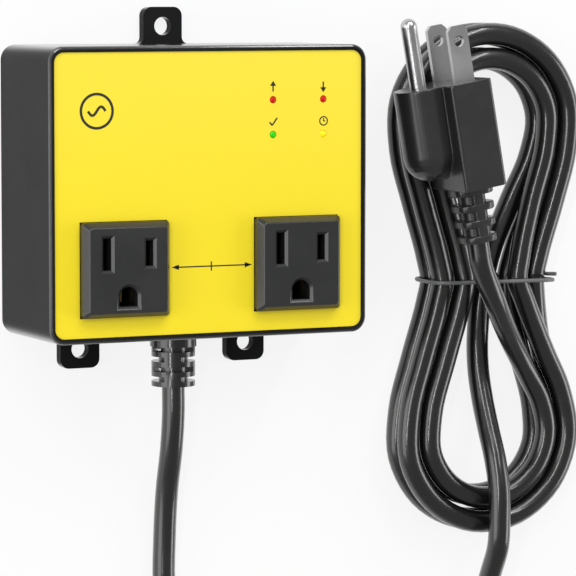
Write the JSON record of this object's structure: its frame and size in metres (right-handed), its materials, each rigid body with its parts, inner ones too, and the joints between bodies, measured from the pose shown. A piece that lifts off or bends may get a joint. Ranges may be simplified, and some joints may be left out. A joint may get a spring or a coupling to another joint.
{
  "type": "appliance_voltage_protector",
  "caption": "Plug-in appliance voltage protector with a yellow face, grounded sockets, signal lamps and a hanked mains cord with its plug",
  "frame": {"origin": "Centre of the housing's back face, where it lies on the surface or against the wall", "axes": "+X to the right and +Y up on the face as it is read, +Z out of the face towards the user"},
  "size_m": [0.182, 0.2196, 0.0405],
  "materials": {
    "housing_plastic": "fine matte moulded black plastic",
    "label_yellow": "smooth printed yellow label, bare of words",
    "socket_plastic": "satin dark grey socket moulding",
    "contact_brass": "stamped brass",
    "inner_plastic": "plain grey moulding",
    "screw_steel": "zinc-plated steel",
    "board_green": "green solder mask",
    "pin_nickel": "bright nickel plating",
    "lamp_red": "tinted clear lens",
    "lamp_green": "tinted clear lens",
    "lamp_yellow": "tinted clear lens",
    "relay_blue": "blue moulded case or dipped coat",
    "bobbin_white": "off-white coil former",
    "copper_wire": "enamelled copper winding",
    "relay_iron": "plated soft iron",
    "film_yellow": "yellow moulded box",
    "can_sleeve": "dark blue shrink sleeve",
    "chip_black": "black moulded package",
    "fuse_glass": "clear glass tube with metal caps",
    "resistor_tan": "lacquered ceramic body",
    "cord_rubber": "smooth black flexible jacket with a soft sheen",
    "wire_black": "smooth wire insulation",
    "wire_white": "smooth wire insulation",
    "wire_green": "smooth wire insulation",
    "wire_red": "smooth wire insulation",
    "tie_grey": "plastic-coated wire tie",
    "plug_rubber": "satin moulded black plug body"
  },
  "bodies": {
    "housing": {"front_housing": "housing_plastic", "back_cover": "housing_plastic", "face_label": "label_yellow", "left_receptacle": "socket_plastic", "right_receptacle": "socket_plastic", "neutral_contact_strip": "contact_brass", "hot_contact_strip": "contact_brass", "ground_contact_strip": "contact_brass", "left_retainer": "inner_plastic", "right_retainer": "inner_plastic", "retainer_screws": "screw_steel", "case_screws": "screw_steel", "circuit_board": "board_green", "board_screws": "screw_steel", "board_terminals": "pin_nickel", "high_voltage_lamp": "lamp_red", "low_voltage_lamp": "lamp_red", "normal_lamp": "lamp_green", "delay_lamp": "lamp_yellow", "relay_base": "inner_plastic", "relay_cover": "relay_blue", "relay_bobbin": "bobbin_white", "relay_winding": "copper_wire", "relay_core": "relay_iron", "relay_yoke": "relay_iron", "relay_fixed_contact": "contact_brass", "varistor": "relay_blue", "film_capacitor": "film_yellow", "smoothing_capacitor": "can_sleeve", "control_chip": "chip_black", "glass_fuse": "fuse_glass", "fuse_clips": "pin_nickel", "diodes": "chip_black", "resistors": "resistor_tan", "cord_strain_relief": "cord_rubber", "line_wire": "wire_black", "neutral_wire": "wire_white", "ground_wire": "wire_green", "switched_wire": "wire_red", "cord_lead": "cord_rubber", "cord_hank": "cord_rubber", "cord_tail": "cord_rubber", "twist_tie": "tie_grey", "plug_body": "plug_rubber", "plug_hot_blade": "pin_nickel", "plug_neutral_blade": "pin_nickel", "plug_ground_pin": "pin_nickel"},
    "armature": {"relay_armature": "relay_iron", "relay_contact_leaf": "contact_brass"}
  },
  "joints": [
    {"name": "armature_hinge", "type": "hinge", "parent": "housing", "child": "armature", "pos_m": [-0.019, 0.0175, 0.0114], "axis": [0, 1, 0], "range_deg": [0, 2.5], "stiffness_Nm_per_rad": 0.002}
  ]
}
